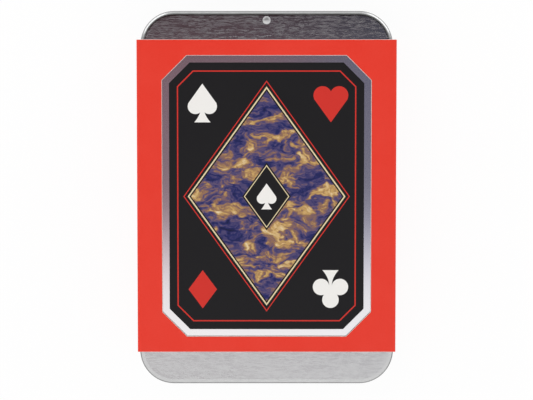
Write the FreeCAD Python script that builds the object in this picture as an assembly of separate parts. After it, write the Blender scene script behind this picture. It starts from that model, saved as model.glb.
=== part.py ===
import FreeCAD, Part
import math
import os

# Slide-lid tin with a deck of playing cards, lying on its back inside a paper band.
# Millimetres. X runs across the tin, Y along it towards the head end, Z up through the lid.
# The origin lies under the middle of the tin, in the plane of the band's back.
# The tin's sizes follow from the cards that it holds.

# Playing cards
CARD_WIDTH = 63.5
CARD_LENGTH = 88.9
CARD_CORNER_RADIUS = 3.2
CARD_THICKNESS = 0.29
CARD_AIR = 0.01
SUITS = ("spades", "hearts", "clubs", "diamonds")
RANKS = (
    "ace", "two", "three", "four", "five", "six", "seven",
    "eight", "nine", "ten", "jack", "queen", "king",
)
JOKERS = ("card_joker_one", "card_joker_two")

# Room for the deck in the tray
SIDE_CLEARANCE = 0.85
END_CLEARANCE = 2.7
FLOOR_CLEARANCE = 0.02
HEADROOM = 0.90

# Tinplate and the fit between tray and lid
SHEET = 0.25
RUNNING_GAP = 0.15
TIN_CORNER_RADIUS = 9.2

# Tray with its rolled rim
FLOOR_BEND = 0.65
MOUTH_BEND = 0.45
RIM_RADIUS = 0.70
HEAD_LEDGE = 4.20

# Sliding lid
LID_BEND = 1.3
END_SKIRT = 3.4
SHOULDER_SETBACK = 9.6
RIM_SHOWN = 0.3

# Detent at the head end: a dome in the lid over a low bump on the ledge
DETENT_SETBACK = 2.5
DOME_RADIUS = 1.05
DOME_HEIGHT = 0.35
BUMP_RADIUS = 0.70
BUMP_HEIGHT = 0.11

# Paper band with its window; it leaves both ends of the tin bare
BAND_STOCK = 0.30
HEAD_BARED = 7.65
FOOT_BARED = 8.85
BAND_SIDE_GAP = 0.25
BAND_FLAT_GAP = 0.10
BAND_FOLD = 0.55
GLUE_FLAP = 12.0
WINDOW_SIDE_BORDER = 6.80
WINDOW_END_BORDER = 4.30
WINDOW_CHAMFER = 6.65

# Printed label on the lid, seen through the window with a strip of bare metal round it
LABEL_THICKNESS = 0.08
LABEL_MARGIN = 1.87

# A cutting tool runs this far past the face that it opens
OVERCUT = 1.0
# Points closer than this count as the same place
SAME_PLACE = 1e-4

# Plan: centre lines and ends, from the cards outwards
TRAY_HALF = CARD_WIDTH / 2 + SIDE_CLEARANCE
RIM_HALF = TRAY_HALF + RIM_RADIUS
CURL_RADIUS = RIM_RADIUS + RUNNING_GAP + SHEET
TIN_HALF = RIM_HALF + CURL_RADIUS
TRAY_CORNER_RADIUS = TIN_CORNER_RADIUS - CURL_RADIUS - RIM_RADIUS
TRAY_LENGTH = CARD_LENGTH + 2 * END_CLEARANCE
TIN_LENGTH = CURL_RADIUS + RIM_RADIUS + TRAY_LENGTH + HEAD_LEDGE + RIM_RADIUS
FOOT_END = -TIN_LENGTH / 2
HEAD_END = TIN_LENGTH / 2
RIM_FOOT = FOOT_END + CURL_RADIUS
RIM_HEAD = HEAD_END - RIM_RADIUS
TRAY_FOOT = RIM_FOOT + RIM_RADIUS
TRAY_HEAD = RIM_HEAD - HEAD_LEDGE
DECK_MIDDLE = (TRAY_FOOT + TRAY_HEAD) / 2
SHOULDER = HEAD_END - SHOULDER_SETBACK
DETENT = FreeCAD.Vector(0, HEAD_END - DETENT_SETBACK, 0)
# Over the rim the lid's bend is cut short, so its edge ends this far inside the pressed outline
EDGE_SETBACK = LID_BEND - math.sqrt(LID_BEND ** 2 - (RIM_RADIUS + RUNNING_GAP) ** 2)
BAND_HALF = TIN_HALF + BAND_SIDE_GAP + BAND_STOCK
BAND_FOOT = FOOT_END + FOOT_BARED
BAND_HEAD = HEAD_END - HEAD_BARED
WINDOW_WIDTH = 2 * (BAND_HALF - WINDOW_SIDE_BORDER)
WINDOW_LENGTH = BAND_HEAD - BAND_FOOT - 2 * WINDOW_END_BORDER
WINDOW_MIDDLE = (BAND_FOOT + BAND_HEAD) / 2

# Levels, from the band's back upwards
TRAY_BOTTOM = 2 * BAND_STOCK + BAND_FLAT_GAP
FLOOR_TOP = TRAY_BOTTOM + SHEET
DECK_BOTTOM = FLOOR_TOP + FLOOR_CLEARANCE
CARD_PITCH = CARD_THICKNESS + CARD_AIR
CARD_COUNT = len(SUITS) * len(RANKS) + len(JOKERS)
DECK_TOP = DECK_BOTTOM + CARD_COUNT * CARD_PITCH - CARD_AIR
LID_TOP = DECK_TOP + HEADROOM + SHEET
RIM_LEVEL = LID_TOP - LID_BEND
RIM_TOP = RIM_LEVEL + RIM_RADIUS
BAND_TOP = LID_TOP + DOME_HEIGHT + BAND_FLAT_GAP + BAND_STOCK

UP = FreeCAD.Vector(0, 0, 1)


def polar(centre, radius, degrees):
    """Point at a radius and an angle from +X about a centre in the XY plane."""
    angle = math.radians(degrees)
    return centre + FreeCAD.Vector(radius * math.cos(angle), radius * math.sin(angle), 0)


def arc(centre, radius, start, end):
    """Arc edge in the XY plane between two angles in degrees."""
    middle = (start + end) / 2
    points = [polar(centre, radius, degrees) for degrees in (start, middle, end)]
    return Part.Arc(*points).toShape()


def closed_loop(pieces):
    """Wire through edges in order, with straight edges across the gaps between them."""
    edges = []
    for piece, following in zip(pieces, pieces[1:] + pieces[:1]):
        edges.append(piece)
        gap_start = piece.Vertexes[-1].Point
        gap_end = following.Vertexes[0].Point
        if gap_start.distanceToPoint(gap_end) > SAME_PLACE:
            edges.append(Part.LineSegment(gap_start, gap_end).toShape())
    return Part.Wire(edges)


def rounded_outline(half_width, foot, head, foot_radius, head_radius):
    """Rectangle across X = 0 from foot to head, with rounded corners."""
    head_inner = head - head_radius
    foot_inner = foot + foot_radius
    head_side = half_width - head_radius
    foot_side = half_width - foot_radius
    return closed_loop([
        arc(FreeCAD.Vector(head_side, head_inner, 0), head_radius, 0, 90),
        arc(FreeCAD.Vector(-head_side, head_inner, 0), head_radius, 90, 180),
        arc(FreeCAD.Vector(-foot_side, foot_inner, 0), foot_radius, 180, 270),
        arc(FreeCAD.Vector(foot_side, foot_inner, 0), foot_radius, 270, 360),
    ])


def chamfered_outline(width, length, chamfer, middle):
    """Octagon: a rectangle about (0, middle) with its corners cut at 45 degrees."""
    half_width = width / 2
    half_length = length / 2
    quarter = [
        (half_width, half_length - chamfer),
        (half_width - chamfer, half_length),
    ]
    mirrored = [(-x, y) for x, y in reversed(quarter)]
    upper = quarter + mirrored
    corners = upper + [(-x, -y) for x, y in upper]
    points = [FreeCAD.Vector(x, middle + y, 0) for x, y in corners]
    return Part.makePolygon(points + points[:1])


def slab(outline, bottom, top):
    """Prism of a flat outline between two levels."""
    face = Part.Face(outline)
    face.translate(UP * bottom)
    return face.extrude(UP * (top - bottom))


def edges_at_level(solid, level):
    """Edges that lie wholly at one level."""
    return [
        edge for edge in solid.Edges
        if abs(edge.BoundBox.ZMin - level) < SAME_PLACE and abs(edge.BoundBox.ZMax - level) < SAME_PLACE
    ]


def edges_along(solid, outline, level):
    """Edges at one level that run along an outline drawn in the XY plane."""
    chosen = []
    for edge in edges_at_level(solid, level):
        middle = edge.valueAt((edge.FirstParameter + edge.LastParameter) / 2)
        dropped = Part.Vertex(middle.x, middle.y, 0)
        if outline.distToShape(dropped)[0] < SAME_PLACE:
            chosen.append(edge)
    return chosen


def ring_section(inner, outer, start, end):
    """Section of a curled sheet in the XZ plane about the origin, between two angles in degrees."""
    origin = FreeCAD.Vector()
    loop = closed_loop([arc(origin, outer, start, end), arc(origin, inner, end, start)])
    section = Part.Face(loop)
    section.rotate(origin, FreeCAD.Vector(1, 0, 0), 90)
    return section


def placed(section, turn, point):
    """Copy of an XZ section turned about Z and carried to a point of the path."""
    copy = section.copy()
    copy.rotate(FreeCAD.Vector(), UP, turn)
    copy.translate(point)
    return copy


def rolled_rim(section, half_width, foot, head, foot_radius, head_radius):
    """Section carried round a rounded rectangle, with its +X side outwards."""
    path = rounded_outline(half_width, foot, head, foot_radius, head_radius)
    solids = []
    turn = 0
    for edge in Part.__sortEdges__(path.Edges):
        start = edge.Vertexes[0].Point
        end = edge.Vertexes[-1].Point
        profile = placed(section, turn, start)
        if isinstance(edge.Curve, Part.Circle):
            solids.append(profile.revolve(edge.Curve.Center, UP, 90))
            turn += 90
        else:
            solids.append(profile.extrude(end - start))
    return solids


def spherical_cap(base, radius, height):
    """Ball whose top stands height above the base point and meets its plane at radius."""
    ball_radius = (radius ** 2 + height ** 2) / (2 * height)
    centre = base + UP * (height - ball_radius)
    return centre, ball_radius


def fused(first, others):
    """One clean solid from shapes that share faces or overlap."""
    return first.fuse(others).removeSplitter()


def tin_base():
    """Drawn tray with an outward rolled rim, a ledge at the head end and the detent's bump."""
    outside = rounded_outline(
        TRAY_HALF + SHEET, TRAY_FOOT - SHEET, TRAY_HEAD + SHEET,
        TRAY_CORNER_RADIUS + SHEET, TRAY_CORNER_RADIUS + SHEET)
    inside = rounded_outline(TRAY_HALF, TRAY_FOOT, TRAY_HEAD, TRAY_CORNER_RADIUS, TRAY_CORNER_RADIUS)
    rim_line = (
        RIM_HALF, RIM_FOOT, RIM_HEAD, TIN_CORNER_RADIUS - CURL_RADIUS, TIN_CORNER_RADIUS - RIM_RADIUS)

    body = slab(outside, TRAY_BOTTOM, RIM_TOP)
    body = body.makeFillet(FLOOR_BEND, edges_at_level(body, TRAY_BOTTOM))
    flange = slab(rounded_outline(*rim_line), RIM_TOP - SHEET, RIM_TOP)
    body = fused(body, [flange])
    body = body.makeFillet(MOUTH_BEND - SHEET, edges_along(body, outside, RIM_TOP - SHEET))

    hollow = slab(inside, FLOOR_TOP, RIM_TOP + OVERCUT)
    hollow = hollow.makeFillet(FLOOR_BEND - SHEET, edges_at_level(hollow, FLOOR_TOP))
    body = body.cut(hollow)
    body = body.makeFillet(MOUTH_BEND, edges_along(body, inside, RIM_TOP))

    curl = rolled_rim(ring_section(RIM_RADIUS - SHEET, RIM_RADIUS, -90, 90), *rim_line)
    for length in curl:
        length.translate(UP * RIM_LEVEL)
    centre, ball_radius = spherical_cap(DETENT + UP * RIM_TOP, BUMP_RADIUS, BUMP_HEIGHT)
    bump = Part.makeSphere(ball_radius, centre)
    bump = bump.common(slab(rounded_outline(*rim_line), RIM_TOP - SHEET, RIM_TOP + BUMP_HEIGHT))
    return fused(body, curl + [bump])


def pressed_skin(half_width, foot, head, corner):
    """Sheet pressed over a rounded block, with one bend round its top edge and an open underside."""
    outside = rounded_outline(half_width, foot, head, corner, corner)
    block = slab(outside, LID_TOP - END_SKIRT, LID_TOP)
    block = block.makeFillet(LID_BEND, edges_at_level(block, LID_TOP))
    inner_corner = corner - SHEET
    inside = rounded_outline(half_width - SHEET, foot + SHEET, head - SHEET, inner_corner, inner_corner)
    hollow = slab(inside, LID_TOP - END_SKIRT - OVERCUT, LID_TOP - SHEET)
    hollow = hollow.makeFillet(LID_BEND - SHEET, edges_at_level(hollow, LID_TOP - SHEET))
    return block.cut(hollow)


def stretch(foot, head, bottom, top):
    """Block across the whole width of the tin, for keeping a stretch of the lid."""
    half = TIN_HALF + OVERCUT
    corner = FreeCAD.Vector(-half, foot, bottom)
    return Part.makeBox(2 * half, head - foot, top - bottom, corner)


def slide_lid():
    """Pressed lid: curled round the rim along both sides, bent down at the foot and at the head."""
    skirt_bottom = LID_TOP - END_SKIRT
    above = LID_TOP + OVERCUT
    curl_start = FOOT_END + TIN_CORNER_RADIUS
    beyond = SHOULDER + TIN_CORNER_RADIUS
    skin = pressed_skin(TIN_HALF, FOOT_END, beyond, TIN_CORNER_RADIUS)
    foot_end = skin.common(stretch(FOOT_END - OVERCUT, curl_start, skirt_bottom, above))
    sides = skin.common(stretch(curl_start, SHOULDER, RIM_LEVEL, above))

    tongue_inset = RIM_SHOWN - EDGE_SETBACK
    tongue_corner = TIN_CORNER_RADIUS - tongue_inset
    tongue_half = RIM_HALF + RIM_RADIUS - tongue_inset
    tongue = pressed_skin(
        tongue_half, SHOULDER - 2 * tongue_corner, HEAD_END - tongue_inset, tongue_corner)
    tongue = tongue.common(stretch(SHOULDER, HEAD_END, RIM_TOP + RUNNING_GAP, above))

    curl = ring_section(CURL_RADIUS - SHEET, CURL_RADIUS, -90, 0)
    lip = RIM_RADIUS - SHEET - RUNNING_GAP
    run = SHOULDER - curl_start
    lip_strip = Part.makeBox(lip, run, SHEET, FreeCAD.Vector(-lip, 0, -CURL_RADIUS))
    hook = fused(curl.extrude(FreeCAD.Vector(0, run, 0)), [lip_strip])
    right_hook = placed(hook, 0, FreeCAD.Vector(RIM_HALF, curl_start, RIM_LEVEL))
    left_hook = placed(hook, 180, FreeCAD.Vector(-RIM_HALF, SHOULDER, RIM_LEVEL))
    lid = fused(foot_end, [sides, tongue, right_hook, left_hook])

    centre, ball_radius = spherical_cap(DETENT + UP * LID_TOP, DOME_RADIUS, DOME_HEIGHT)
    dome = Part.makeSphere(ball_radius, centre)
    above_panel = Part.makeCylinder(DOME_RADIUS, SHEET + DOME_HEIGHT, DETENT + UP * (LID_TOP - SHEET))
    lid = fused(lid, [dome.common(above_panel)])
    return lid.cut(Part.makeSphere(ball_radius - SHEET, centre))


def lid_label():
    """Thin printed label on the lid, parallel to the window at a margin."""
    chamfer = WINDOW_CHAMFER - LABEL_MARGIN * (2 - math.sqrt(2))
    outline = chamfered_outline(
        WINDOW_WIDTH - 2 * LABEL_MARGIN, WINDOW_LENGTH - 2 * LABEL_MARGIN, chamfer, WINDOW_MIDDLE)
    return slab(outline, LID_TOP, LID_TOP + LABEL_THICKNESS)


def band_section_loop(left, right, left_bottom, right_bottom, top, fold):
    """Loop of the band's section in the XY plane, with its two lower folds at their own levels."""
    return [
        arc(FreeCAD.Vector(right - fold, right_bottom + fold, 0), fold, -90, 0),
        arc(FreeCAD.Vector(right - fold, top - fold, 0), fold, 0, 90),
        arc(FreeCAD.Vector(left + fold, top - fold, 0), fold, 90, 180),
        arc(FreeCAD.Vector(left + fold, left_bottom + fold, 0), fold, 180, 270),
    ]


def paper_band():
    """Sleeve of card stock, glued over an inner flap at the back, with a die-cut window in front."""
    back_edge = BAND_HALF - BAND_FOLD
    outer_arcs = band_section_loop(-BAND_HALF, BAND_HALF, 0, BAND_STOCK, BAND_TOP, BAND_FOLD)
    free_edge = Part.LineSegment(
        FreeCAD.Vector(back_edge, 0, 0), FreeCAD.Vector(back_edge, BAND_STOCK, 0)).toShape()
    outer = closed_loop(outer_arcs + [free_edge])

    inner_half = BAND_HALF - BAND_STOCK
    inner_arcs = band_section_loop(
        -inner_half, inner_half, BAND_STOCK, 2 * BAND_STOCK, BAND_TOP - BAND_STOCK, BAND_FOLD - BAND_STOCK)
    flap_end = back_edge - GLUE_FLAP
    flap_edge = Part.LineSegment(
        FreeCAD.Vector(flap_end, BAND_STOCK, 0), FreeCAD.Vector(flap_end, 2 * BAND_STOCK, 0)).toShape()
    inner = closed_loop(inner_arcs + [flap_edge])

    section = Part.Face(outer).cut(Part.Face(inner))
    section.rotate(FreeCAD.Vector(), FreeCAD.Vector(1, 0, 0), 90)
    section.translate(FreeCAD.Vector(0, BAND_FOOT, 0))
    sleeve = section.extrude(FreeCAD.Vector(0, BAND_HEAD - BAND_FOOT, 0))
    window = chamfered_outline(WINDOW_WIDTH, WINDOW_LENGTH, WINDOW_CHAMFER, WINDOW_MIDDLE)
    opened = sleeve.cut(slab(window, LID_TOP, BAND_TOP + OVERCUT))
    return opened.Solids[0]


def card(position):
    """One card of the deck, counted from the bottom of the stack."""
    outline = rounded_outline(
        CARD_WIDTH / 2, DECK_MIDDLE - CARD_LENGTH / 2, DECK_MIDDLE + CARD_LENGTH / 2,
        CARD_CORNER_RADIUS, CARD_CORNER_RADIUS)
    bottom = DECK_BOTTOM + position * CARD_PITCH
    return slab(outline, bottom, bottom + CARD_THICKNESS)


def deck_order():
    """Names of the cards from the bottom of the stack, suit by suit, jokers on top."""
    suited = [f"card_{suit}_{rank}" for suit in SUITS for rank in RANKS]
    return suited + list(JOKERS)


def main():
    """Build every piece and write each one to its own file."""
    os.makedirs("parts", exist_ok=True)
    pieces = {
        "tin_base": tin_base(),
        "slide_lid": slide_lid(),
        "lid_label": lid_label(),
        "paper_band": paper_band(),
    }
    for position, name in enumerate(deck_order()):
        pieces[name] = card(position)
    for name, shape in pieces.items():
        shape.exportStep(f"parts/{name}.step")
        print(name, shape.isValid(), len(shape.Solids), round(shape.Volume, 2))


main()
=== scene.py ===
"""Looks of a slide-lid tin of playing cards that a die-cut paper band holds shut.

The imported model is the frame. The tin, its lid, the label and the cards keep their own shapes and get
finishes here, and the band is folded anew from one sheet with pale cut edges. Fields are in millimetres
and meshes in metres. X runs across the tin, Y along it towards the head end, and Z up through the lid.
"""

import logging
import math
from dataclasses import dataclass
from enum import Enum
from itertools import cycle
from typing import Any, ClassVar, Mapping, Optional, Sequence, Union

import bmesh
import bpy
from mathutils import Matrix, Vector


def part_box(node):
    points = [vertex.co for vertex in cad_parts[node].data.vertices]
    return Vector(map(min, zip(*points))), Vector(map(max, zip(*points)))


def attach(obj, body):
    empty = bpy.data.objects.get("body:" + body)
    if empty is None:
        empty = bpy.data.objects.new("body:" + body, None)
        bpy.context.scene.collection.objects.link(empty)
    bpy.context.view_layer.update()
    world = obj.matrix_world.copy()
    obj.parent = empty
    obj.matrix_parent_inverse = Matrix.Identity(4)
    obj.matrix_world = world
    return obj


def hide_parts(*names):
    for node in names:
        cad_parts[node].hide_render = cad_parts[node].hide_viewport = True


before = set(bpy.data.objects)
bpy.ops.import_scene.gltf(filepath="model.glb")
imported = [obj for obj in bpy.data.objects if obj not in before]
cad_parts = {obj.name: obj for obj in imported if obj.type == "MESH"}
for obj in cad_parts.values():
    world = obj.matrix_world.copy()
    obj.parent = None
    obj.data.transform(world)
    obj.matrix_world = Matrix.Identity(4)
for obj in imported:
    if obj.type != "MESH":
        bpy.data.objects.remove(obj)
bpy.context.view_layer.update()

LOG = logging.getLogger("tin_of_cards")
MM = 0.001

Colour = tuple[float, float, float]
Place = tuple[float, float, float]
Span = tuple[float, float]
Disc = tuple[float, float, float]
Stops = Sequence[tuple[float, Colour]]
Key = Union[int, str]

WHITE: Colour = (1.0, 1.0, 1.0)


def srgb(red: float, green: float, blue: float) -> Colour:
    """Turn 8-bit display values into a linear colour.

    Args:
        red: Red from 0 to 255.
        green: Green from 0 to 255.
        blue: Blue from 0 to 255.

    Returns:
        The linear colour.
    """

    def linear(value: float) -> float:
        """One channel."""
        share = value / 255.0
        return share / 12.92 if share <= 0.04045 else ((share + 0.055) / 1.055) ** 2.4

    return linear(red), linear(green), linear(blue)


class Signal:
    """An output socket of a shader tree that takes part in arithmetic."""

    def __init__(self, tree: "ShaderTree", socket: bpy.types.NodeSocket) -> None:
        """Keep a socket with its tree."""
        self.tree = tree
        self.socket = socket

    def __add__(self, other: "Operand") -> "Signal":
        """Sum."""
        return self.tree.math("ADD", self, other)

    def __radd__(self, other: "Operand") -> "Signal":
        """Sum with a number on the left."""
        return self.tree.math("ADD", other, self)

    def __sub__(self, other: "Operand") -> "Signal":
        """Difference."""
        return self.tree.math("SUBTRACT", self, other)

    def __rsub__(self, other: "Operand") -> "Signal":
        """Difference from a number."""
        return self.tree.math("SUBTRACT", other, self)

    def __mul__(self, other: "Operand") -> "Signal":
        """Product."""
        return self.tree.math("MULTIPLY", self, other)

    def __rmul__(self, other: "Operand") -> "Signal":
        """Product with a number on the left."""
        return self.tree.math("MULTIPLY", other, self)

    def __truediv__(self, other: "Operand") -> "Signal":
        """Quotient."""
        return self.tree.math("DIVIDE", self, other)

    def __neg__(self) -> "Signal":
        """The same size with the other sign."""
        return self.tree.math("MULTIPLY", self, -1.0)

    def __abs__(self) -> "Signal":
        """Size without sign."""
        return self.tree.math("ABSOLUTE", self)

    def root(self) -> "Signal":
        """Square root."""
        return self.tree.math("SQRT", self)

    def least(self, other: "Operand") -> "Signal":
        """Lower of two."""
        return self.tree.math("MINIMUM", self, other)

    def most(self, other: "Operand") -> "Signal":
        """Higher of two."""
        return self.tree.math("MAXIMUM", self, other)

    def wave(self, period: float) -> "Signal":
        """Distance to the nearest whole multiple of a period."""
        return self.tree.math("PINGPONG", self, period / 2.0)

    def smooth(self, low: float, high: float) -> "Signal":
        """Rise from 0 to 1 between two values.

        Args:
            low: Value at which the rise starts.
            high: Value at which the rise ends.

        Returns:
            The eased share.
        """
        return self.tree.signal(
            "ShaderNodeMapRange",
            {"interpolation_type": "SMOOTHSTEP"},
            {"Value": self, "From Min": low, "From Max": high},
        )

    def filled(self, edge: float = 0.05) -> "Signal":
        """Ink inside a signed distance.

        Args:
            edge: Width over which the ink fades, in millimetres.

        Returns:
            Cover from 0 to 1.
        """
        return self.tree.math("MULTIPLY_ADD", self, -1.0 / edge, 0.5, clamp=True)

    def stroked(self, width: float, edge: float = 0.05) -> "Signal":
        """Ink of a line along a signed distance.

        Args:
            width: Width of the line in millimetres.
            edge: Width over which the ink fades, in millimetres.

        Returns:
            Cover from 0 to 1.
        """
        return (abs(self) - width / 2.0).filled(edge)


Operand = Union[Signal, float]
Paint = Union[Signal, Colour]


class ShaderTree:
    """The nodes of one material or world, grown by expressions."""

    def __init__(self, owner: Union[bpy.types.Material, bpy.types.World]) -> None:
        """Take over an owner's tree and empty it.

        Args:
            owner: The material or world.
        """
        owner.use_nodes = True
        self.owner = owner
        self.tree = owner.node_tree
        self.tree.nodes.clear()

    @staticmethod
    def socket(sockets: Sequence[bpy.types.NodeSocket], key: Key) -> bpy.types.NodeSocket:
        """Find a socket.

        Args:
            sockets: The inputs or outputs of a node.
            key: Place, identifier or name.

        Returns:
            The socket.
        """
        if isinstance(key, str):
            for candidate in sockets:
                if candidate.identifier == key:
                    return candidate
        return sockets[key]

    def node(
        self,
        kind: str,
        settings: Optional[Mapping[str, Any]] = None,
        sockets: Optional[Mapping[Key, Any]] = None,
    ) -> bpy.types.Node:
        """Add a node.

        Args:
            kind: Type of the node.
            settings: Properties, which are set first; "stops" are a ramp's places and colours.
            sockets: Numbers, colours or signals of the inputs.

        Returns:
            The new node.
        """
        node = self.tree.nodes.new(kind)
        for name, setting in (settings or {}).items():
            if name == "stops":
                self.set_stops(node.color_ramp, setting)
            else:
                setattr(node, name, setting)
        for key, value in (sockets or {}).items():
            into = self.socket(node.inputs, key)
            if isinstance(value, Signal):
                self.tree.links.new(value.socket, into)
            elif into.type == "RGBA":
                into.default_value = (*value, 1.0)
            else:
                into.default_value = value
        return node

    @staticmethod
    def set_stops(ramp: bpy.types.ColorRamp, stops: Stops) -> None:
        """Give a ramp its stops.

        Args:
            ramp: The ramp.
            stops: Places and colours in rising order.
        """
        for element, (place, colour) in zip(ramp.elements, (stops[0], stops[-1])):
            element.position = place
            element.color = (*colour, 1.0)
        for place, colour in stops[1:-1]:
            ramp.elements.new(place).color = (*colour, 1.0)

    def signal(
        self,
        kind: str,
        settings: Optional[Mapping[str, Any]] = None,
        sockets: Optional[Mapping[Key, Any]] = None,
        output: Key = 0,
    ) -> Signal:
        """Add a node and take one of its outputs.

        Args:
            kind: Type of the node.
            settings: Properties, which are set first.
            sockets: Numbers, colours or signals of the inputs.
            output: Place, identifier or name of the output.

        Returns:
            The output.
        """
        node = self.node(kind, settings, sockets)
        return Signal(self, self.socket(node.outputs, output))

    def math(self, operation: str, *values: Operand, clamp: bool = False) -> Signal:
        """Add a Math node.

        Args:
            operation: What the node works out.
            values: Numbers or signals that it works on.
            clamp: Whether the result stays between 0 and 1.

        Returns:
            The result.
        """
        return self.signal(
            "ShaderNodeMath",
            {"operation": operation, "use_clamp": clamp},
            dict(enumerate(values)),
        )

    def mix(self, share: Operand, first: Paint, second: Paint) -> Signal:
        """Blend two colours.

        Args:
            share: Share of the second, from 0 to 1.
            first: Colour below.
            second: Colour above.

        Returns:
            The blend.
        """
        return self.signal(
            "ShaderNodeMix",
            {"data_type": "RGBA"},
            {"Factor_Float": share, "A_Color": first, "B_Color": second},
            "Result_Color",
        )

    def ramp(self, value: Signal, stops: Stops) -> Signal:
        """Look a value up in a colour ramp."""
        return self.signal("ShaderNodeValToRGB", {"stops": stops}, {"Fac": value})

    def vector(self, x: Operand, y: Operand, z: Operand) -> Signal:
        """Join three values into a vector."""
        return self.signal("ShaderNodeCombineXYZ", None, {0: x, 1: y, 2: z})

    def parts(self, vector: Signal) -> tuple[Signal, Signal, Signal]:
        """Take a vector apart.

        Args:
            vector: The vector.

        Returns:
            Its three parts.
        """
        node = self.node("ShaderNodeSeparateXYZ", None, {0: vector})
        x, y, z = (Signal(self, output) for output in node.outputs)
        return x, y, z

    def place(self) -> tuple[Signal, Signal, Signal]:
        """Read the place on the piece.

        Returns:
            Place at rest in millimetres, along each axis.
        """
        point = self.signal("ShaderNodeTexCoord", output="Object")
        x, y, z = self.parts(point)
        return x / MM, y / MM, z / MM

    def facing(self) -> tuple[Signal, Signal, Signal]:
        """Direction that the piece's surface faces at rest."""
        return self.parts(self.signal("ShaderNodeTexCoord", output="Normal"))

    def noise(
        self,
        point: Sequence[Operand],
        cell: Place,
        detail: float = 2.0,
        roughness: float = 0.6,
        output: Key = 0,
    ) -> Signal:
        """Add smooth noise.

        Args:
            point: Place in millimetres.
            cell: Size of a cell along each axis, in millimetres.
            detail: Number of finer layers.
            roughness: Strength of the finer layers.
            output: Which output, the value by default.

        Returns:
            The noise, around a half.
        """
        cells = self.vector(*(place / size for place, size in zip(point, cell)))
        return self.signal(
            "ShaderNodeTexNoise",
            None,
            {"Vector": cells, "Scale": 1.0, "Detail": detail, "Roughness": roughness},
            output,
        )

    def bump(self, height: Signal, depth: float) -> Signal:
        """Turn a height from 0 to 1 into a normal.

        Args:
            height: The height.
            depth: Depth of the relief in millimetres.

        Returns:
            The normal.
        """
        return self.signal("ShaderNodeBump", None, {"Distance": depth * MM, "Height": height})

    def surface(self, sockets: Mapping[Key, Any]) -> None:
        """Finish the tree with a Principled surface."""
        shader = self.signal("ShaderNodeBsdfPrincipled", None, sockets)
        self.node("ShaderNodeOutputMaterial", None, {"Surface": shader})


class Suit(Enum):
    """The four suits of a deck."""

    SPADE = "spade"
    HEART = "heart"
    DIAMOND = "diamond"
    CLUB = "club"


@dataclass(frozen=True)
class Drawing:
    """Flat shapes as signed distances in millimetres, negative inside.

    The fixed values are proportions of the pips, which are one unit high about their middle. A disc is given
    by its place across and along and its radius.
    """

    HEART_LOBE: ClassVar[Disc] = (0.215, 0.2, 0.235)
    HEART_FLANK: ClassVar[Span] = (0.811, 0.585)
    HEART_SHOULDER: ClassVar[float] = 0.11
    DIAMOND_HALF: ClassVar[float] = 0.37
    SPADE_LIFT: ClassVar[float] = 0.08
    SPADE_SIZE: ClassVar[float] = 0.84
    CLUB_LEAVES: ClassVar[Sequence[Disc]] = ((0.0, 0.275, 0.215), (0.245, -0.06, 0.215), (0.0, 0.06, 0.12))
    STEM_HALF: ClassVar[float] = 0.035
    STEM_FLARE: ClassVar[float] = 1.1
    STEM_WAIST: ClassVar[float] = -0.1
    STEM_TOP: ClassVar[float] = -0.02

    x: Signal
    y: Signal

    def moved(self, x: float, y: float, turned: bool = False) -> "Drawing":
        """The same plane about another middle.

        Args:
            x: Place of the new middle across.
            y: Place of the new middle along.
            turned: Whether the plane is turned upside down there.

        Returns:
            The moved drawing.
        """
        sign = -1.0 if turned else 1.0
        return Drawing((self.x - x) * sign, (self.y - y) * sign)

    def sized(self, size: float) -> "Drawing":
        """The same plane in units of a size."""
        return Drawing(self.x / size, self.y / size)

    def disc(self, x: float, y: float, radius: float) -> Signal:
        """Draw a disc and its mirror image across the middle.

        Args:
            x: Place of the centre across.
            y: Place of the centre along.
            radius: Radius of the disc.

        Returns:
            The distance.
        """
        across = abs(self.x) - x
        along = self.y - y
        return (across * across + along * along).root() - radius

    def lozenge(self, half_width: float, half_height: float) -> Signal:
        """Distance to a straight-sided lozenge."""
        scale = half_width * half_height / math.hypot(half_width, half_height)
        return (abs(self.x) / half_width + abs(self.y) / half_height - 1.0) * scale

    def octagon(self, half_width: float, half_height: float, chamfer: float) -> Signal:
        """Draw a rectangle with cut corners.

        Args:
            half_width: Half the width.
            half_height: Half the height.
            chamfer: How much of each side a corner takes.

        Returns:
            The distance.
        """
        across, along = abs(self.x), abs(self.y)
        corner = (across + along - (half_width + half_height - chamfer)) * math.sqrt(0.5)
        return (across - half_width).most(along - half_height).most(corner)

    def heart(self) -> Signal:
        """Draw a heart one unit high.

        Returns:
            The distance.
        """
        lobe = self.disc(*self.HEART_LOBE)
        flank = abs(self.x) * self.HEART_FLANK[0] - (self.y + 0.5) * self.HEART_FLANK[1]
        return lobe.least(flank.most(self.y - self.HEART_SHOULDER))

    def stem(self) -> Signal:
        """Draw the flared foot of a spade or a club one unit high.

        Returns:
            The distance.
        """
        lift = self.y - self.STEM_WAIST
        flare = abs(self.x) - self.STEM_HALF - lift * lift * self.STEM_FLARE
        return flare.most(self.y - self.STEM_TOP).most(-0.5 - self.y)

    def suit(self, suit: Suit, height: float) -> Signal:
        """Draw a suit's pip.

        Args:
            suit: Which pip.
            height: Height of the pip in millimetres.

        Returns:
            The distance.
        """
        unit = self.sized(height)
        if suit is Suit.HEART:
            shape = unit.heart()
        elif suit is Suit.DIAMOND:
            shape = unit.lozenge(self.DIAMOND_HALF, 0.5)
        elif suit is Suit.SPADE:
            leaf = unit.moved(0.0, self.SPADE_LIFT, turned=True).sized(self.SPADE_SIZE)
            shape = (leaf.heart() * self.SPADE_SIZE).least(unit.stem())
        else:
            shape = unit.stem()
            for disc in self.CLUB_LEAVES:
                shape = shape.least(unit.disc(*disc))
        return shape * height


@dataclass(frozen=True)
class Rule:
    """A printed line that runs along an outline."""

    outset: float
    width: float
    ink: Colour

    def over(self, tree: ShaderTree, outline: Signal, colour: Paint) -> Signal:
        """Print the line over a colour."""
        return tree.mix((outline - self.outset).stroked(self.width), colour, self.ink)


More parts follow.
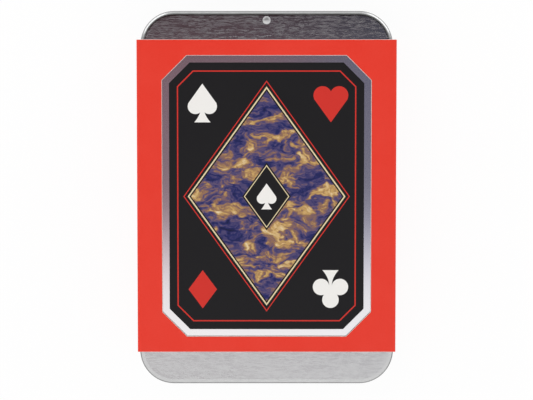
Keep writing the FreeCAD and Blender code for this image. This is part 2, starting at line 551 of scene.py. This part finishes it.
def middle_and_half(node: str) -> tuple[Vector, Vector]:
    """Measure a node of the frame.

    Args:
        node: Name of the node.

    Returns:
        The middle of its box and half its size, in millimetres.
    """
    low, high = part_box(node)
    return (low + high) / (2.0 * MM), (high - low) / (2.0 * MM)


@dataclass(frozen=True)
class Finish:
    """A surface finish that makes one material."""

    name: str

    def tree(self) -> ShaderTree:
        """Start the material's tree."""
        return ShaderTree(bpy.data.materials.new(self.name))

    def paint(self, tree: ShaderTree) -> None:
        """Grow the tree."""
        raise NotImplementedError

    def material(self) -> bpy.types.Material:
        """Make the material, unless it was made before.

        Returns:
            The material.
        """
        made = bpy.data.materials.get(self.name)
        if made is None:
            tree = self.tree()
            self.paint(tree)
            made = tree.owner
        return made


@dataclass(frozen=True)
class BrushedTinplate(Finish):
    """Tinplate brushed across the sheet, with a smooth frame round the label and a pale pressed dome."""

    tone: Colour = (0.452, 0.452, 0.454)
    streak_tone: Colour = (0.50, 0.50, 0.502)
    streak_span: Span = (0.38, 0.62)
    roughness: float = 0.09
    roughness_spread: float = 0.178
    fine_cell: Place = (1.35, 0.24, 1.35)
    broad_cell: Place = (5.0, 0.5, 5.0)
    fine_share: float = 0.68
    cloud_cell: Place = (14.0, 11.0, 14.0)
    cloud_spread: float = 0.05
    depth: float = 0.0022
    frame_tone: Colour = (0.71, 0.70, 0.71)
    frame_roughness: float = 0.10
    frame_width: float = 2.5
    frame_chamfer: float = 7.01
    dome_tone: Colour = (0.56, 0.555, 0.56)
    dome_roughness: float = 0.46
    dome_radius: float = 1.05
    dome_place: float = 48.0
    lid_slack: float = 0.1

    @staticmethod
    def lid_level() -> float:
        """Height of the lid's flat, on which the label lies."""
        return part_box("lid_label")[0].z / MM

    def streaks(self, tree: ShaderTree, x: Signal, y: Signal, z: Signal) -> Signal:
        """Height of the brushing, which follows the sheet over its bends.

        Args:
            tree: The material's tree.
            x: Place across the tin.
            y: Place along the tin.
            z: Height.

        Returns:
            A value around a half.
        """
        _, facing_y, _ = tree.facing()
        along = y + (z - self.lid_level()) * facing_y
        fine = tree.noise((x, along, z), self.fine_cell)
        broad = tree.noise((x, along, z), self.broad_cell)
        return fine * self.fine_share + broad * (1.0 - self.fine_share)

    def cover(self, outline: Signal, z: Signal) -> Signal:
        """Share of an outline on top of the lid, which is 0 lower down."""
        return outline.most(self.lid_level() - self.lid_slack - z).filled()

    def bare(self, x: Signal, y: Signal, z: Signal) -> Signal:
        """Part the brushed sheet from the smooth frame.

        Args:
            x: Place across the tin.
            y: Place along the tin.
            z: Height.

        Returns:
            Share of brushing, which is 0 on the frame and 1 elsewhere.
        """
        middle, half = middle_and_half("lid_label")
        outline = Drawing(x, y).moved(middle.x, middle.y).octagon(
            half.x + self.frame_width, half.y + self.frame_width, self.frame_chamfer
        )
        return 1.0 - self.cover(outline, z)

    def paint(self, tree: ShaderTree) -> None:
        """Streak the tone, the gloss and the relief along the brushing.

        Args:
            tree: The material's tree.
        """
        x, y, z = tree.place()
        bare = self.bare(x, y, z)
        dome = self.cover(Drawing(x, y).disc(0.0, self.dome_place, self.dome_radius), z)
        streak = self.streaks(tree, x, y, z)
        share = streak.smooth(*self.streak_span)
        cloud = tree.noise((x, y, z), self.cloud_cell, roughness=0.5)
        tone = tree.mix(bare, self.frame_tone, tree.mix(share, self.tone, self.streak_tone))
        brushed = self.roughness + self.roughness_spread * share + (cloud - 0.5) * self.cloud_spread
        roughness = self.frame_roughness + (brushed - self.frame_roughness) * bare
        tree.surface(
            {
                "Base Color": tree.mix(dome, tone, self.dome_tone),
                "Metallic": 1.0,
                "Roughness": roughness + (self.dome_roughness - roughness) * dome,
                "Normal": tree.bump(streak * bare * (1.0 - dome), self.depth),
            }
        )


@dataclass(frozen=True)
class PrintedStock(Finish):
    """Red-printed face of thin card stock, with a soft satin varnish."""

    ink: Colour = (0.765, 0.030, 0.012)
    thin_ink: Colour = (0.785, 0.042, 0.022)
    thin_span: Span = (0.25, 0.80)
    cloud_cell: Place = (9.0, 9.0, 9.0)
    fibre_cell: Place = (0.45, 0.30, 0.45)
    roughness: float = 0.48
    roughness_spread: float = 0.18
    shine: float = 0.35
    depth: float = 0.006

    def paint(self, tree: ShaderTree) -> None:
        """Lay the ink over the fibres of the stock.

        Args:
            tree: The material's tree.
        """
        place = tree.place()
        cloud = tree.noise(place, self.cloud_cell, detail=3.0, roughness=0.55)
        fibre = tree.noise(place, self.fibre_cell, detail=3.0)
        share = ((cloud + fibre) / 2.0).smooth(*self.thin_span)
        tree.surface(
            {
                "Base Color": tree.mix(share, self.ink, self.thin_ink),
                "Roughness": self.roughness + (fibre - 0.5) * self.roughness_spread,
                "Specular IOR Level": self.shine,
                "Normal": tree.bump(fibre, self.depth),
            }
        )


@dataclass(frozen=True)
class BareStock(Finish):
    """Unprinted card stock, as on a cut edge or the inside of a sleeve."""

    tone: Colour = (0.86, 0.83, 0.79)
    fibre_tone: Colour = (0.74, 0.70, 0.66)
    fibre_span: Span = (0.35, 0.75)
    grain: float = 0.35
    roughness: float = 0.85
    shine: float = 0.2
    depth: float = 0.01

    def paint(self, tree: ShaderTree) -> None:
        """Mottle the stock with its fibres.

        Args:
            tree: The material's tree.
        """
        cell = (self.grain, self.grain, self.grain)
        fibre = tree.noise(tree.place(), cell, detail=4.0)
        tree.surface(
            {
                "Base Color": tree.mix(fibre.smooth(*self.fibre_span), self.tone, self.fibre_tone),
                "Roughness": self.roughness,
                "Specular IOR Level": self.shine,
                "Normal": tree.bump(fibre, self.depth),
            }
        )


@dataclass(frozen=True)
class LabelPrint(Finish):
    """Dark printed panel with a two-way layout: a marbled lozenge, four pips and fine rules.

    The three noises of the marble are cut at slices of their own, so that they don't repeat each other.
    """

    chamfer: float = 5.55
    ground: Colour = srgb(28, 27, 29)
    red: Colour = srgb(206, 52, 44)
    white: Colour = srgb(238, 236, 232)
    cream: Colour = srgb(226, 210, 168)
    border_rule: Rule = Rule(-2.3, 0.34, red)
    lozenge_half: Span = (20.4, 28.4)
    lozenge_rules: Sequence[Rule] = (Rule(0.55, 0.36, cream), Rule(1.55, 0.26, red))
    core_half: Span = (6.6, 9.2)
    core_rule: Rule = Rule(-0.5, 0.22, cream)
    core_pip: float = 7.0
    pip_place: Span = (17.3, 25.2)
    pip_height: float = 10.4
    pips: Sequence[tuple[Suit, float, float, Colour]] = (
        (Suit.SPADE, -1.0, 1.0, white),
        (Suit.HEART, 1.0, 1.0, red),
        (Suit.DIAMOND, -1.0, -1.0, red),
        (Suit.CLUB, 1.0, -1.0, white),
    )
    drift_cell: Place = (9.0, 6.0, 1.0)
    drift_slice: float = 3.1
    drift_reach: Span = (13.0, 9.0)
    vein_cell: Place = (7.5, 3.2, 1.0)
    vein_slice: float = 0.7
    vein_share: float = 0.68
    speck_cell: Place = (1.7, 1.1, 1.0)
    speck_slice: float = 5.3
    marble_tones: Stops = (
        (0.30, srgb(16, 17, 36)),
        (0.42, srgb(38, 42, 96)),
        (0.49, srgb(84, 74, 112)),
        (0.545, srgb(140, 104, 84)),
        (0.60, srgb(196, 158, 96)),
        (0.70, srgb(236, 222, 186)),
    )
    haze_cell: Place = (6.0, 6.0, 1.0)
    roughness: float = 0.42
    roughness_spread: float = 0.16
    shine: float = 0.14

    def marble(self, tree: ShaderTree, x: Signal, y: Signal) -> Signal:
        """Colour of the marbled ground.

        Args:
            tree: The material's tree.
            x: Place across the label.
            y: Place along the label.

        Returns:
            The colour.
        """
        drift = tree.noise(
            (x, y, self.drift_slice), self.drift_cell, detail=3.0, roughness=0.55, output="Color"
        )
        drift_x, drift_y, _ = tree.parts(drift)
        x = x + (drift_x - 0.5) * self.drift_reach[0]
        y = y + (drift_y - 0.5) * self.drift_reach[1]
        vein = tree.noise((x, y, self.vein_slice), self.vein_cell, detail=4.0)
        speck = tree.noise((x, y, self.speck_slice), self.speck_cell, detail=3.0)
        return tree.ramp(vein * self.vein_share + speck * (1.0 - self.vein_share), self.marble_tones)

    def paint(self, tree: ShaderTree) -> None:
        """Print the layout from the ground up.

        Args:
            tree: The material's tree.
        """
        middle, half = middle_and_half("lid_label")
        x, y, z = tree.place()
        plane = Drawing(x, y).moved(middle.x, middle.y)
        border = plane.octagon(half.x, half.y, self.chamfer)
        lozenge = plane.lozenge(*self.lozenge_half)
        core = plane.lozenge(*self.core_half)

        colour = self.border_rule.over(tree, border, self.ground)
        colour = tree.mix(lozenge.filled(), colour, self.marble(tree, plane.x, plane.y))
        for rule in self.lozenge_rules:
            colour = rule.over(tree, lozenge, colour)
        colour = tree.mix(core.filled(), colour, self.ground)
        colour = self.core_rule.over(tree, core, colour)
        colour = tree.mix(plane.suit(Suit.SPADE, self.core_pip).filled(), colour, self.white)
        for suit, across, along, ink in self.pips:
            corner = plane.moved(across * self.pip_place[0], along * self.pip_place[1], turned=along < 0.0)
            colour = tree.mix(corner.suit(suit, self.pip_height).filled(), colour, ink)
        haze = tree.noise((x, y, z), self.haze_cell, detail=3.0, roughness=0.5)
        tree.surface(
            {
                "Base Color": colour,
                "Roughness": self.roughness + (haze - 0.5) * self.roughness_spread,
                "Specular IOR Level": self.shine,
            }
        )


@dataclass(frozen=True)
class PlainStock(Finish):
    """White stock of a card inside the deck, of which no more than a hairline of edge shows."""

    tone: Colour = srgb(240, 238, 232)
    roughness: float = 0.45
    shine: float = 0.4

    def paint(self, tree: ShaderTree) -> None:
        """Leave the stock one tone; the darker tone given to every other card is painted shade that parts
        neighbouring edges of the deck.

        Args:
            tree: The material's tree.
        """
        tree.surface(
            {"Base Color": self.tone, "Roughness": self.roughness, "Specular IOR Level": self.shine}
        )


@dataclass(frozen=True)
class CardStock(Finish):
    """White card stock with a printed lattice on the back: lines, studs where they cross, dots between."""

    stock: Colour = srgb(240, 238, 232)
    shade: Colour = srgb(206, 202, 194)
    ink: Colour = srgb(34, 52, 112)
    margin: float = 4.2
    chamfer: float = 3.0
    pitch: float = 4.6
    line_half: float = 0.28
    stud_half: float = 0.85
    dot_half: float = 0.62
    lattice_inset: float = 2.4
    rule: Rule = Rule(0.9, 0.5, stock)
    back_span: Span = (0.4, 0.6)
    shade_span: Span = (0.3, 0.7)
    fibre_cell: Place = (0.9, 0.9, 0.05)
    roughness: float = 0.38
    roughness_spread: float = 0.12
    shine: float = 0.4

    def paint(self, tree: ShaderTree) -> None:
        """Print the back and mottle the edges.

        Args:
            tree: The material's tree.
        """
        middle, half = middle_and_half("card_joker_two")
        x, y, z = tree.place()
        _, _, facing_z = tree.facing()
        plane = Drawing(x, y).moved(middle.x, middle.y)
        panel = plane.octagon(half.x - self.margin, half.y - self.margin, self.chamfer)
        inner = panel + self.lattice_inset
        rising = (plane.x + plane.y).wave(self.pitch)
        falling = (plane.x - plane.y).wave(self.pitch)
        near = rising.least(falling)
        lines = (near - self.line_half).filled()
        studs = (rising.most(falling) - self.stud_half).filled()
        dots = (self.pitch / 2.0 - self.dot_half - near).filled()

        back = tree.mix(panel.filled(), self.stock, self.ink)
        back = self.rule.over(tree, inner, back)
        back = tree.mix(lines.most(studs).most(dots) * inner.filled(), back, self.stock)
        fibre = tree.noise((x, y, z), self.fibre_cell, detail=3.0)
        edge = tree.mix(fibre.smooth(*self.shade_span), self.stock, self.shade)
        tree.surface(
            {
                "Base Color": tree.mix(facing_z.smooth(*self.back_span), edge, back),
                "Roughness": self.roughness + (fibre - 0.5) * self.roughness_spread,
                "Specular IOR Level": self.shine,
            }
        )


def dress(node: str, material: bpy.types.Material) -> bpy.types.Object:
    """Give every slot of a CAD node one material.

    Args:
        node: Name of the node.
        material: The material.

    Returns:
        The node's object.
    """
    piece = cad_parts[node]
    for slot in piece.material_slots:
        slot.material = material
    return piece


@dataclass
class Tin:
    """The pressed tray that holds the deck."""

    finish: BrushedTinplate

    def build(self) -> list[bpy.types.Object]:
        """Dress the tray."""
        return [dress("tin_base", self.finish.material())]


@dataclass
class SlideLid:
    """The sliding lid with its printed label."""

    finish: BrushedTinplate
    print_finish: LabelPrint

    def build(self) -> list[bpy.types.Object]:
        """Dress the lid and its label.

        Returns:
            The two pieces.
        """
        return [
            dress("slide_lid", self.finish.material()),
            dress("lid_label", self.print_finish.material()),
        ]


@dataclass
class Deck:
    """The cards in the tray, with the back of the top one in sight."""

    back: CardStock
    stocks: Sequence[PlainStock]

    def build(self) -> list[bpy.types.Object]:
        """Dress every card, from the bottom of the deck up.

        Returns:
            The cards.
        """
        names = [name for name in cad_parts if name.startswith("card_")]
        names.sort(key=lambda name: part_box(name)[1].z)
        top = names.pop()
        # every other card takes the darker stock, which is painted shade between the cards' edges
        pieces = [dress(name, stock.material()) for name, stock in zip(names, cycle(self.stocks))]
        return [*pieces, dress(top, self.back.material())]


@dataclass
class PaperBand:
    """The sleeve round the tin: one folded sheet with a glued lap at the back and a window in front."""

    printed: PrintedStock
    core: BareStock
    inside: BareStock
    stock: float = 0.30
    fold: float = 0.55
    fold_segments: int = 6
    flap: float = 12.0
    lap_gap: float = 0.02
    side_border: float = 6.80
    end_border: float = 4.30
    chamfer: float = 6.65
    cut_tolerance: float = 1e-4
    edge_round: float = 0.07
    edge_segments: int = 2
    edge_angle: float = 50.0

    def sheet(self) -> bmesh.types.BMesh:
        """Fold the sheet and cut its window.

        Returns:
            The outer face of the band as one surface.
        """
        low, high = (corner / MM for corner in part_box("paper_band"))
        lap = low.z + self.stock + self.lap_gap
        profile = (
            (high.x - self.fold - self.flap, lap),
            (high.x, lap),
            (high.x, high.z),
            (low.x, high.z),
            (low.x, low.z),
            (high.x - self.fold, low.z),
        )
        mesh = bmesh.new()
        points = [mesh.verts.new(Vector((x, low.y, z)) * MM) for x, z in profile]
        runs = [mesh.edges.new(pair) for pair in zip(points, points[1:])]
        grown = bmesh.ops.extrude_edge_only(mesh, edges=runs)["geom"]
        ends = [part for part in grown if isinstance(part, bmesh.types.BMVert)]
        bmesh.ops.translate(mesh, verts=ends, vec=Vector((0.0, high.y - low.y, 0.0)) * MM)
        folds = [edge for edge in mesh.edges if len(edge.link_faces) == 2]
        bmesh.ops.bevel(
            mesh,
            geom=folds,
            offset=self.fold * MM,
            offset_type="OFFSET",
            segments=self.fold_segments,
            profile=0.5,
            affect="EDGES",
            material=-1,
        )
        self.cut_window(mesh, low, high)
        bmesh.ops.recalc_face_normals(mesh, faces=mesh.faces)
        front = max(mesh.faces, key=lambda face: face.calc_center_median().z)
        if front.normal.z < 0.0:
            bmesh.ops.reverse_faces(mesh, faces=mesh.faces)
        return mesh

    def cut_window(self, mesh: bmesh.types.BMesh, low: Vector, high: Vector) -> None:
        """Cut the eight-sided window out of the front.

        Args:
            mesh: The folded sheet.
            low: Lowest corner of the band in millimetres.
            high: Highest corner of the band in millimetres.
        """
        middle = (low + high) / 2.0
        across = high.x - middle.x - self.side_border
        along = high.y - middle.y - self.end_border
        slant = math.sqrt(0.5)
        corner = (across + along - self.chamfer) * slant
        sides = (
            (Vector((1.0, 0.0, 0.0)), across),
            (Vector((0.0, 1.0, 0.0)), along),
            (Vector((slant, slant, 0.0)), corner),
            (Vector((slant, -slant, 0.0)), corner),
        )
        window = max(mesh.faces, key=lambda face: face.calc_center_median().z)
        for axis, distance in sides:
            for normal in (axis, -axis):
                made = bmesh.ops.bisect_plane(
                    mesh,
                    geom=[window, *window.edges, *window.verts],
                    dist=self.cut_tolerance * MM,
                    plane_co=(middle + normal * distance) * MM,
                    plane_no=normal,
                )["geom"]
                faces = [part for part in made if isinstance(part, bmesh.types.BMFace)]
                window = min(faces, key=lambda face: face.calc_center_median().dot(normal))
        bmesh.ops.delete(mesh, geom=[window], context="FACES")

    def build(self) -> list[bpy.types.Object]:
        """Make the band in place of its CAD node.

        Returns:
            The one piece.
        """
        mesh = self.sheet()
        data = bpy.data.meshes.new("band_sleeve")
        mesh.to_mesh(data)
        mesh.free()
        for finish in (self.printed, self.core, self.inside):
            data.materials.append(finish.material())
        for face in data.polygons:
            face.use_smooth = True
        piece = bpy.data.objects.new("band_sleeve", data)
        bpy.context.scene.collection.objects.link(piece)

        thick = piece.modifiers.new("stock", "SOLIDIFY")
        thick.thickness = self.stock * MM
        thick.offset = -1.0
        thick.use_even_offset = True
        thick.material_offset_rim = 1
        thick.material_offset = 2
        soft = piece.modifiers.new("cut_edge", "BEVEL")
        soft.width = self.edge_round * MM
        soft.segments = self.edge_segments
        soft.limit_method = "ANGLE"
        soft.angle_limit = math.radians(self.edge_angle)
        soft.material = 1
        piece.modifiers.new("shading", "WEIGHTED_NORMAL").keep_sharp = True

        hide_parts("paper_band")
        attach(piece, "band")
        return [piece]


@dataclass
class Studio:
    """White floor under a dim ceiling that is bright towards the foot, seen nearly straight from above.

    The spans of the ceiling, the bright part, the walls and the tints are slopes: how far a direction runs
    sideways for each unit that it rises. The spans of the head's wall and its soft boxes are shares of the
    head's own direction in a direction's level part.
    """

    aim: Place = (-0.03, -0.36, 18.4)
    distance: float = 500.0
    tilt: float = 3.92
    lens: float = 125.05
    sensor: float = 36.0
    near_clip: float = 10.0
    overhead: float = 0.03
    ceiling: float = 0.20
    ceiling_span: Span = (-0.038, -0.014)
    bright: float = 1.25
    bright_span: Span = (0.070, 0.127)
    wall: float = 0.62
    wall_span: Span = (0.25, 1.8)
    low_span: Span = (1.9, 2.5)
    head: float = 1.04
    head_span: Span = (0.80, 0.95)
    box: float = 2.4
    box_start: Span = (0.30, 0.45)
    box_end: Span = (0.93, 0.98)
    dusk: Colour = (1.38, 0.93, 0.92)
    warm: Colour = (1.40, 0.90, 1.08)
    cool: Colour = (0.94, 0.98, 1.38)
    side_span: Span = (-0.01, 0.06)
    white_span: Span = (0.3, 0.8)
    lamp_level: float = 0.215
    lamp_size: float = 900.0
    lamp_place: Place = (-300.0, 360.0, 1000.0)
    floor_size: float = 6000.0
    floor_drop: float = 0.05
    floor_tone: Colour = (0.96, 0.96, 0.96)
    floor_lit: float = 0.93
    # level and span of the painted shadow in the mirrored floor's glow round the tin
    mirrored_shadow_level: float = 0.30
    mirrored_shadow_span: Span = (45.0, 170.0)
    least_reach: float = 1e-4
    least_rise: float = 0.01

    def camera(self) -> None:
        """Set the camera over the lid."""
        data = bpy.data.cameras.new("camera")
        data.sensor_fit = "HORIZONTAL"
        data.sensor_width = self.sensor
        data.lens = self.lens
        data.clip_start = self.near_clip * MM
        camera = bpy.data.objects.new("camera", data)
        tilt = math.radians(self.tilt)
        back = Vector((0.0, math.sin(tilt), math.cos(tilt)))
        camera.location = (Vector(self.aim) + back * self.distance) * MM
        camera.rotation_euler = (-tilt, 0.0, 0.0)
        bpy.context.scene.collection.objects.link(camera)
        bpy.context.scene.camera = camera

    def sky(self) -> None:
        """Light the room: dim above, bright towards the foot, with soft boxes low at the head's corners."""
        world = bpy.data.worlds.new("studio")
        bpy.context.scene.world = world
        tree = ShaderTree(world)
        x, y, z = tree.parts(tree.signal("ShaderNodeTexCoord", output="Generated"))
        reach = (x * x + y * y).root().most(self.least_reach)
        rise = z.most(self.least_rise)
        across, footward, lean = x / rise, -y / rise, reach / rise
        headward = y / reach

        def blend(below: Operand, above: Operand, share: Signal) -> Signal:
            """Go from one level to another."""
            return below + (above - below) * share

        ceiling = footward.smooth(*self.ceiling_span)
        lit = footward.smooth(*self.bright_span)
        low = lean.smooth(*self.low_span)
        box = headward.smooth(*self.box_start) * (1.0 - headward.smooth(*self.box_end))
        level = blend(self.overhead, self.ceiling, ceiling)
        level = blend(level, self.wall, lean.smooth(*self.wall_span))
        level = blend(level, self.head, headward.smooth(*self.head_span) * low)
        level = blend(level, self.box, box * low)
        level = blend(level, self.bright, lit)

        right = across.smooth(*self.side_span)
        tint = tree.mix(ceiling, tree.mix(right, self.dusk, WHITE), tree.mix(right, self.warm, self.cool))
        tint = tree.mix(lit.most(lean.smooth(*self.white_span)), tint, WHITE)
        light = tree.signal("ShaderNodeBackground", None, {"Color": tint, "Strength": level})
        tree.node("ShaderNodeOutputWorld", None, {"Surface": light})

    def lamp(self) -> None:
        """Hang a large soft lamp for the matt surfaces, which lights a white sheet to its level."""
        place = Vector(self.lamp_place) * MM
        data = bpy.data.lights.new("lamp", "AREA")
        data.size = self.lamp_size * MM
        data.energy = self.lamp_level * math.pi ** 2 * place.length_squared
        lamp = bpy.data.objects.new("lamp", data)
        lamp.location = place
        lamp.rotation_euler = place.to_track_quat("Z", "Y").to_euler()
        lamp.visible_glossy = False
        bpy.context.scene.collection.objects.link(lamp)

    def floor(self) -> None:
        """Lay the white floor that takes the object's shadow, with a painted shadow round the tin in the
        glow that metal and glass mirror.
        """
        material = bpy.data.materials.new("sweep")
        tree = ShaderTree(material)
        rays = tree.node("ShaderNodeLightPath")
        direct = Signal(tree, rays.outputs["Is Camera Ray"])
        mirrored = Signal(tree, rays.outputs["Is Glossy Ray"])
        mirrored = mirrored.most(Signal(tree, rays.outputs["Is Transmission Ray"]))
        x, y, _ = tree.place()
        # painted shadow: the glow that metal and glass mirror is dimmed close to the tin, standing in for
        # its contact shadow
        near = 1.0 - (x * x + y * y).root().smooth(*self.mirrored_shadow_span)
        level = 1.0 - mirrored * near * (1.0 - self.mirrored_shadow_level)
        matt = tree.signal("ShaderNodeBsdfDiffuse", None, {"Color": self.floor_tone})
        glow = tree.signal("ShaderNodeEmission", None, {"Color": WHITE, "Strength": level})
        share = direct.most(mirrored) * self.floor_lit
        both = tree.signal("ShaderNodeMixShader", None, {0: share, 1: matt, 2: glow})
        tree.node("ShaderNodeOutputMaterial", None, {"Surface": both})

        mesh = bmesh.new()
        bmesh.ops.create_grid(mesh, x_segments=1, y_segments=1, size=self.floor_size / 2.0 * MM)
        bmesh.ops.translate(mesh, verts=mesh.verts, vec=(0.0, 0.0, -self.floor_drop * MM))
        data = bpy.data.meshes.new("sweep")
        mesh.to_mesh(data)
        mesh.free()
        data.materials.append(material)
        floor = bpy.data.objects.new("sweep", data)
        bpy.context.scene.collection.objects.link(floor)

    def build(self) -> None:
        """Set the stage, the lights and the camera."""
        self.sky()
        self.lamp()
        self.floor()
        self.camera()
        bpy.context.scene.view_settings.view_transform = "Standard"


def main() -> None:
    """Build the object and its stage."""
    logging.basicConfig(level=logging.INFO, format="%(name)s: %(message)s")
    tinplate = BrushedTinplate("tinplate_brushed")
    assemblies = (
        Tin(tinplate),
        SlideLid(tinplate, LabelPrint("label_print")),
        PaperBand(
            PrintedStock("band_printed"),
            BareStock("band_core"),
            BareStock("band_inside", tone=(0.80, 0.78, 0.74), fibre_tone=(0.66, 0.63, 0.59), grain=0.5),
        ),
        Deck(
            CardStock("card_print"),
            # the darker second stock is painted shade that parts the edges of neighbouring cards
            (PlainStock("card_stock_pale"), PlainStock("card_stock_painted_shade", tone=srgb(218, 214, 205))),
        ),
    )
    for assembly in assemblies:
        for piece in assembly.build():
            LOG.info("%s: %s", type(assembly).__name__, piece.name)
    Studio().build()


if __name__ == "__main__":
    main()
